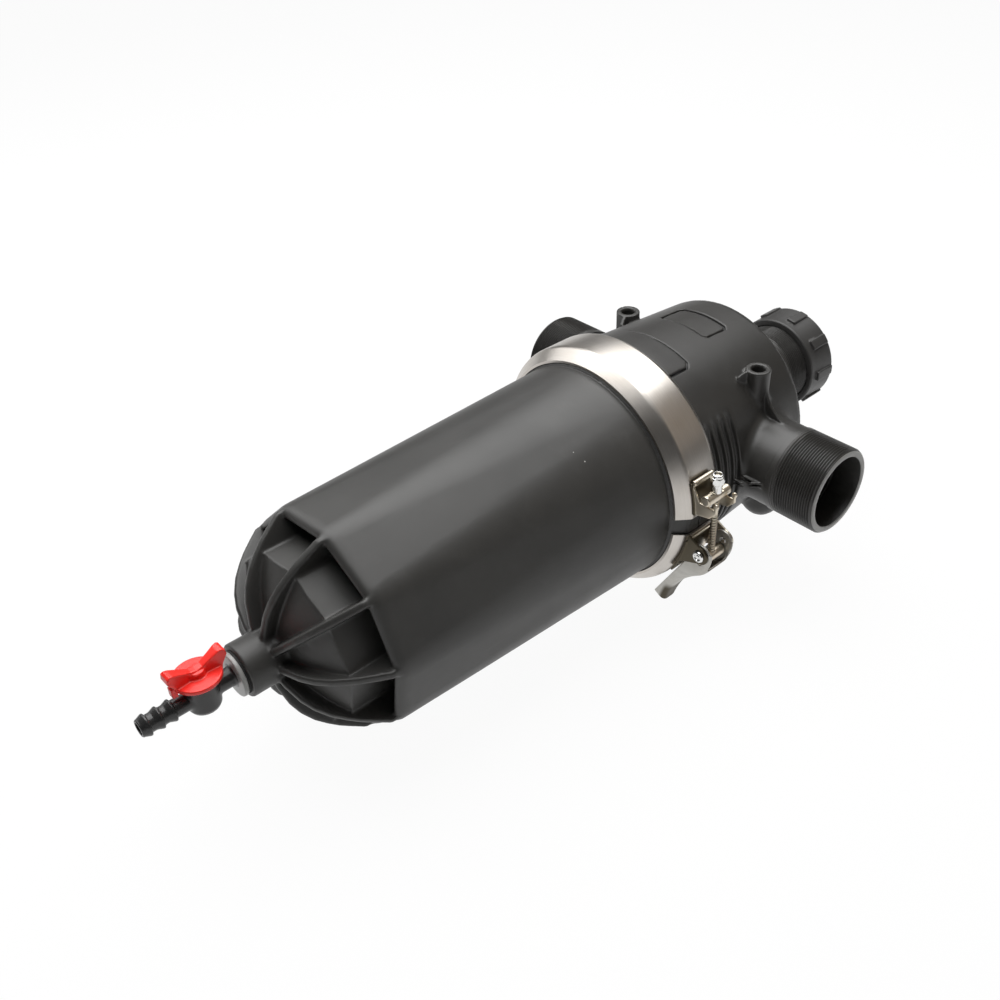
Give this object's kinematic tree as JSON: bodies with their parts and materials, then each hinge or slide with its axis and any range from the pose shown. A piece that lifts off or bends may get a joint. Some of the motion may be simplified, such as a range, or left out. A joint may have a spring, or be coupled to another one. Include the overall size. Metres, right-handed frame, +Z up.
{
  "type": "irrigation disc filter",
  "caption": "Pipe-line disc filter: tapered ribbed bowl on a T-shaped head with threaded ports, held by a lever-and-bolt clamp band, with a capped rear port and a drain valve.",
  "frame": {"origin": "where the pipe line through the two side ports meets the filter's own axis", "axes": "+X along the pipe towards the outlet port, +Y along the filter's axis towards the rear cap, +Z up through the gauge bosses"},
  "size_m": [0.33, 0.6903, 0.213],
  "materials": {
    "head_plastic": "moulded black, slightly glossy",
    "bowl_plastic": "moulded black, satin",
    "cap_plastic": "moulded black, satin",
    "valve_plastic": "moulded black, satin",
    "spine_plastic": "moulded black",
    "disc_plastic": "moulded red",
    "seat_plastic": "plain white",
    "handle_plastic": "moulded red, glossy",
    "seal_rubber": "black rubber",
    "band_steel": "satin stainless steel",
    "plated_steel": "yellowish zinc plate",
    "lever_steel": "matt pressed steel",
    "bright_steel": "bright zinc plate"
  },
  "bodies": {
    "root": {"filter_head": "head_plastic", "filter_bowl": "bowl_plastic", "body_seal": "seal_rubber", "clamp_band": "band_steel", "bolt_saddle": "plated_steel", "lever_bracket": "plated_steel", "lever_rivets": "bright_steel", "valve_body": "valve_plastic", "drain_gasket": "seal_rubber", "valve_seats": "seat_plastic", "valve_gland": "valve_plastic", "disc_spine": "spine_plastic", "disc_stack": "disc_plastic", "press_plate": "spine_plastic", "cartridge_nut": "spine_plastic", "cartridge_seal": "seal_rubber"},
    "lever": {"clamp_lever": "lever_steel"},
    "bolt": {"trunnion": "plated_steel", "clamp_bolt": "plated_steel", "seat_bar": "plated_steel", "bolt_washer": "bright_steel", "lock_nut": "bright_steel"},
    "drain_handle": {"valve_handle": "handle_plastic", "valve_stem": "bright_steel", "valve_ball": "bright_steel"},
    "cap_seat": {"cap_gasket": "seal_rubber"},
    "cap": {"rear_cap": "cap_plastic"}
  },
  "joints": [
    {"name": "lever_open", "type": "hinge", "parent": "root", "child": "lever", "pos_m": [0.119, -0.1, -0.026], "axis": [0, -1, 0], "range_deg": [0, 110]},
    {"name": "bolt_swing", "type": "hinge", "parent": "lever", "child": "bolt", "pos_m": [0.118, -0.1, -0.0345], "axis": [0, -1, 0], "range_deg": [-103, 0]},
    {"name": "drain_turn", "type": "hinge", "parent": "root", "child": "drain_handle", "pos_m": [0, -0.4795, 0], "axis": [0, 0, 1], "range_deg": [0, 90]},
    {"name": "cap_travel", "type": "slide", "parent": "root", "child": "cap_seat", "axis": [0, 1, 0], "range_m": [0, 0.0185]},
    {"name": "cap_unscrew", "type": "hinge", "parent": "cap_seat", "child": "cap", "pos_m": [0, 0.15, 0], "axis": [0, 1, 0], "range_deg": [0, 2880]}
  ],
  "couplings": [
    {"joint": "bolt_swing", "follows": "lever_open", "ratio": -0.93},
    {"joint": "cap_travel", "follows": "cap_unscrew", "m_per_rad": 0.00036749}
  ]
}
